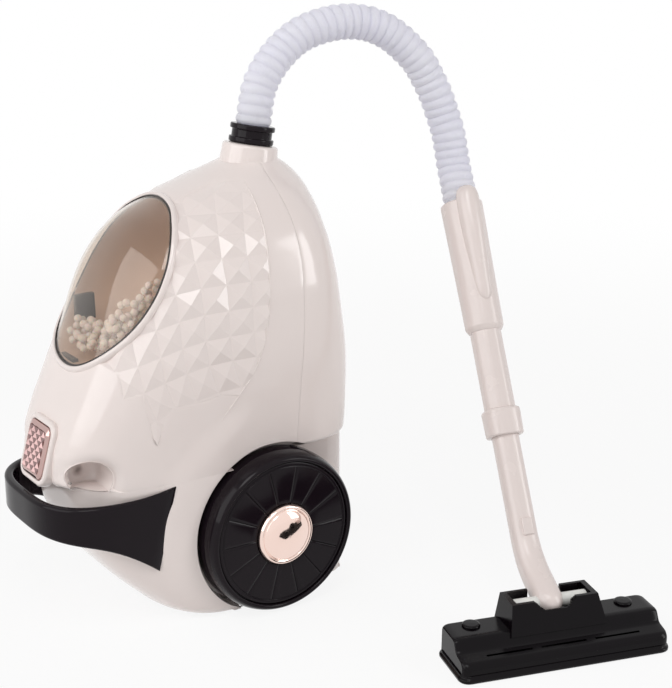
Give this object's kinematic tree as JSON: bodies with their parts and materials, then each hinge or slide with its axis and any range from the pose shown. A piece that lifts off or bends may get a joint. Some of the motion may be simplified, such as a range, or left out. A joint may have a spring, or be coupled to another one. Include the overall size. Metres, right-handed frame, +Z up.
{
  "type": "toy canister vacuum cleaner",
  "caption": "Toy canister vacuum cleaner with an egg-shaped faceted body, smoked window, large wheels, ribbed hose, telescopic wand and tilting floor head.",
  "frame": {"origin": "on the flat underside of the base, below the middle of the wheel axle", "axes": "+Z up, the canister faces -Y, +X is the canister's left side"},
  "size_m": [0.2778, 0.2822, 0.3169],
  "materials": {
    "cream_plastic": "gloss",
    "black_plastic": "gloss",
    "black_satin": "satin",
    "rose_chrome": "polished",
    "smoked_window": "polished",
    "bead_foam": "matte",
    "hose_plastic": "semi-gloss",
    "white_plastic": "satin",
    "cell_jacket": "satin",
    "steel": "brushed"
  },
  "bodies": {
    "canister": {"front_shell": "cream_plastic", "front_skirt": "cream_plastic", "rear_shell": "cream_plastic", "base": "cream_plastic", "finger_scoops": "cream_plastic", "wheel_wells": "cream_plastic", "window_rim": "cream_plastic", "window_dome": "smoked_window", "bead_chamber": "cream_plastic", "chamber_grille": "cream_plastic", "beads": "bead_foam", "button_bezel": "cream_plastic", "button_spring": "steel", "switch": "black_plastic", "handle": "black_plastic", "neck_collar": "cream_plastic", "axle": "steel", "axle_clips": "steel", "motor": "steel", "motor_bracket": "cream_plastic", "cells": "cell_jacket", "cell_contacts": "steel", "battery_door": "cream_plastic", "door_screw": "steel", "screw_posts": "cream_plastic", "screw_tubes": "cream_plastic", "shell_screws": "steel"},
    "button": {"power_button": "rose_chrome"},
    "left_wheel": {"wheel_left": "black_plastic", "wheel_disc_left": "black_plastic", "hub_cap_left": "rose_chrome"},
    "right_wheel": {"wheel_right": "black_plastic", "wheel_disc_right": "black_plastic", "hub_cap_right": "rose_chrome"},
    "caster": {"caster_fork": "black_plastic", "caster_pin": "steel"},
    "roller": {"caster_roller": "black_plastic"},
    "impeller": {"fan": "white_plastic"},
    "hose_and_grip": {"hose_coupler": "black_plastic", "hose": "hose_plastic", "grip": "cream_plastic", "upper_tube": "cream_plastic", "wand_collar": "cream_plastic"},
    "wand_tube": {"lower_tube": "cream_plastic"},
    "floor_head": {"head_shell": "black_satin", "head_sole": "black_satin", "head_caps": "black_satin", "head_screws": "steel"}
  },
  "joints": [
    {"name": "left_wheel_spin", "type": "hinge", "parent": "canister", "child": "left_wheel", "pos_m": [0.0525, 0, 0.0435], "axis": [1, 0, 0], "continuous": true},
    {"name": "right_wheel_spin", "type": "hinge", "parent": "canister", "child": "right_wheel", "pos_m": [-0.0525, 0, 0.0435], "axis": [1, 0, 0], "continuous": true},
    {"name": "caster_swivel", "type": "hinge", "parent": "canister", "child": "caster", "pos_m": [0, -0.027, 0], "axis": [0, 0, 1], "continuous": true},
    {"name": "roller_spin", "type": "hinge", "parent": "caster", "child": "roller", "pos_m": [0, -0.024, 0.004], "axis": [1, 0, 0], "continuous": true},
    {"name": "fan_spin", "type": "hinge", "parent": "canister", "child": "impeller", "pos_m": [0, 0.009, 0.181], "axis": [0, 1, 0], "continuous": true},
    {"name": "button_press", "type": "slide", "parent": "canister", "child": "button", "axis": [0, 0.9613, -0.2756], "range_m": [0, 0.002], "stiffness_N_per_m": 300, "springref_m": -0.001, "deforming": ["button_spring"]},
    {"name": "hose_swivel", "type": "hinge", "parent": "canister", "child": "hose_and_grip", "pos_m": [0, 0.0175, 0.232], "axis": [0, 0.1736, 0.9848], "range_deg": [-40, 12]},
    {"name": "wand_telescope", "type": "slide", "parent": "hose_and_grip", "child": "wand_tube", "axis": [-0.5068, 0.1549, 0.848], "range_m": [0, 0.045]},
    {"name": "head_tilt", "type": "hinge", "parent": "wand_tube", "child": "floor_head", "pos_m": [0.17032, 0.09138, 0.023], "axis": [0.2924, 0.9563, 0], "range_deg": [-30, 24]}
  ]
}
